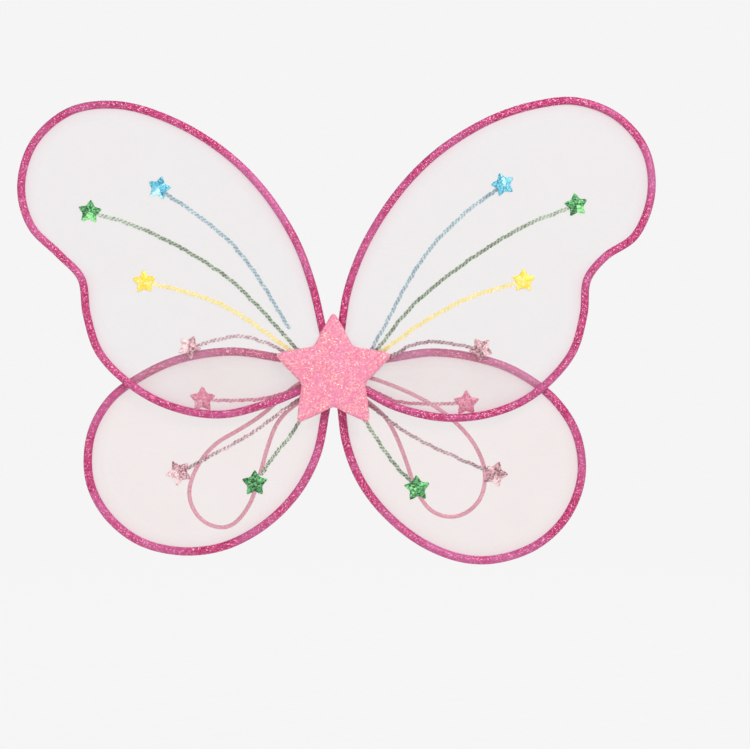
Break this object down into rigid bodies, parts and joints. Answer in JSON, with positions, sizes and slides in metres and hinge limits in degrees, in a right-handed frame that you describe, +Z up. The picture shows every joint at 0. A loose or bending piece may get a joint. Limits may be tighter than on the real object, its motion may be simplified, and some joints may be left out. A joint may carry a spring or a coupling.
{
  "type": "fairy wings",
  "caption": "Child's dress-up butterfly wings: glitter-covered wire lobes with sheer organza, sequin star sprays, a padded centre star and elastic arm loops.",
  "frame": {"origin": "centre of the back pad's rear face, level with the middle of the centre star", "axes": "+Z up as worn, +Y out of the back pad towards the wearer, +X across the wings; the decorated front faces -Y"},
  "size_m": [0.511, 0.056, 0.3749],
  "materials": {
    "star_glitter": "coarse pink glitter fabric",
    "tube_glitter": "fine magenta glitter fabric",
    "organza": "sheer, slightly pearly",
    "foam": "matte foam",
    "felt": "matte felt",
    "pad_fabric": "soft brushed fabric",
    "ribbon": "woven ribbon",
    "frame_wire": "drawn steel",
    "crimp_metal": "pressed steel",
    "strap_elastic": "pale pink glitter elastic",
    "sequin_blue": "blue metallic sequins",
    "sequin_green": "green metallic sequins",
    "sequin_yellow": "yellow metallic sequins",
    "sequin_mauve": "mauve metallic sequins",
    "sequin_rose": "rose metallic sequins"
  },
  "bodies": {
    "hub": {"star_cover": "star_glitter", "star_foam": "foam", "star_backing": "felt", "back_pad": "pad_fabric", "channel_upper": "felt", "channel_lower": "felt", "strap_tab_left": "ribbon", "strap_tab_right": "ribbon"},
    "left_wing": {"root_crimp_left": "crimp_metal", "wire_upper_left": "frame_wire", "casing_upper_left": "tube_glitter", "panel_upper_left": "organza", "star_upper_left_blue": "sequin_blue", "strand_upper_left_blue": "sequin_blue", "star_upper_left_green": "sequin_green", "strand_upper_left_green": "sequin_green", "star_upper_left_yellow": "sequin_yellow", "strand_upper_left_yellow": "sequin_yellow", "star_upper_left_mauve": "sequin_mauve", "strand_upper_left_mauve": "sequin_mauve", "wire_lower_left": "frame_wire", "casing_lower_left": "tube_glitter", "panel_lower_left": "organza", "star_lower_left_rose": "sequin_rose", "strand_lower_left_rose": "sequin_rose", "star_lower_left_mauve": "sequin_mauve", "strand_lower_left_mauve": "sequin_mauve", "star_lower_left_green": "sequin_green", "strand_lower_left_green": "sequin_green"},
    "right_wing": {"root_crimp_right": "crimp_metal", "wire_upper_right": "frame_wire", "casing_upper_right": "tube_glitter", "panel_upper_right": "organza", "star_upper_right_blue": "sequin_blue", "strand_upper_right_blue": "sequin_blue", "star_upper_right_green": "sequin_green", "strand_upper_right_green": "sequin_green", "star_upper_right_yellow": "sequin_yellow", "strand_upper_right_yellow": "sequin_yellow", "star_upper_right_mauve": "sequin_mauve", "strand_upper_right_mauve": "sequin_mauve", "wire_lower_right": "frame_wire", "casing_lower_right": "tube_glitter", "panel_lower_right": "organza", "star_lower_right_rose": "sequin_rose", "strand_lower_right_rose": "sequin_rose", "star_lower_right_mauve": "sequin_mauve", "strand_lower_right_mauve": "sequin_mauve", "star_lower_right_green": "sequin_green", "strand_lower_right_green": "sequin_green"},
    "left_strap": {"strap_left": "strap_elastic", "strap_knots_left": "strap_elastic"},
    "right_strap": {"strap_right": "strap_elastic", "strap_knots_right": "strap_elastic"}
  },
  "joints": [
    {"name": "left_wing_flex", "type": "hinge", "parent": "hub", "child": "left_wing", "pos_m": [-0.005, -0.013, 0], "axis": [0, 0, -1], "range_deg": [0, 14], "stiffness_Nm_per_rad": 0.4},
    {"name": "left_strap_swing", "type": "hinge", "parent": "hub", "child": "left_strap", "pos_m": [-0.0155, -0.003, -0.008], "axis": [0, 0, -1], "range_deg": [0, 60], "stiffness_Nm_per_rad": 0.003},
    {"name": "right_wing_flex", "type": "hinge", "parent": "hub", "child": "right_wing", "pos_m": [0.005, -0.013, 0], "axis": [0, 0, 1], "range_deg": [0, 14], "stiffness_Nm_per_rad": 0.4},
    {"name": "right_strap_swing", "type": "hinge", "parent": "hub", "child": "right_strap", "pos_m": [0.0155, -0.003, -0.008], "axis": [0, 0, 1], "range_deg": [0, 60], "stiffness_Nm_per_rad": 0.003}
  ]
}
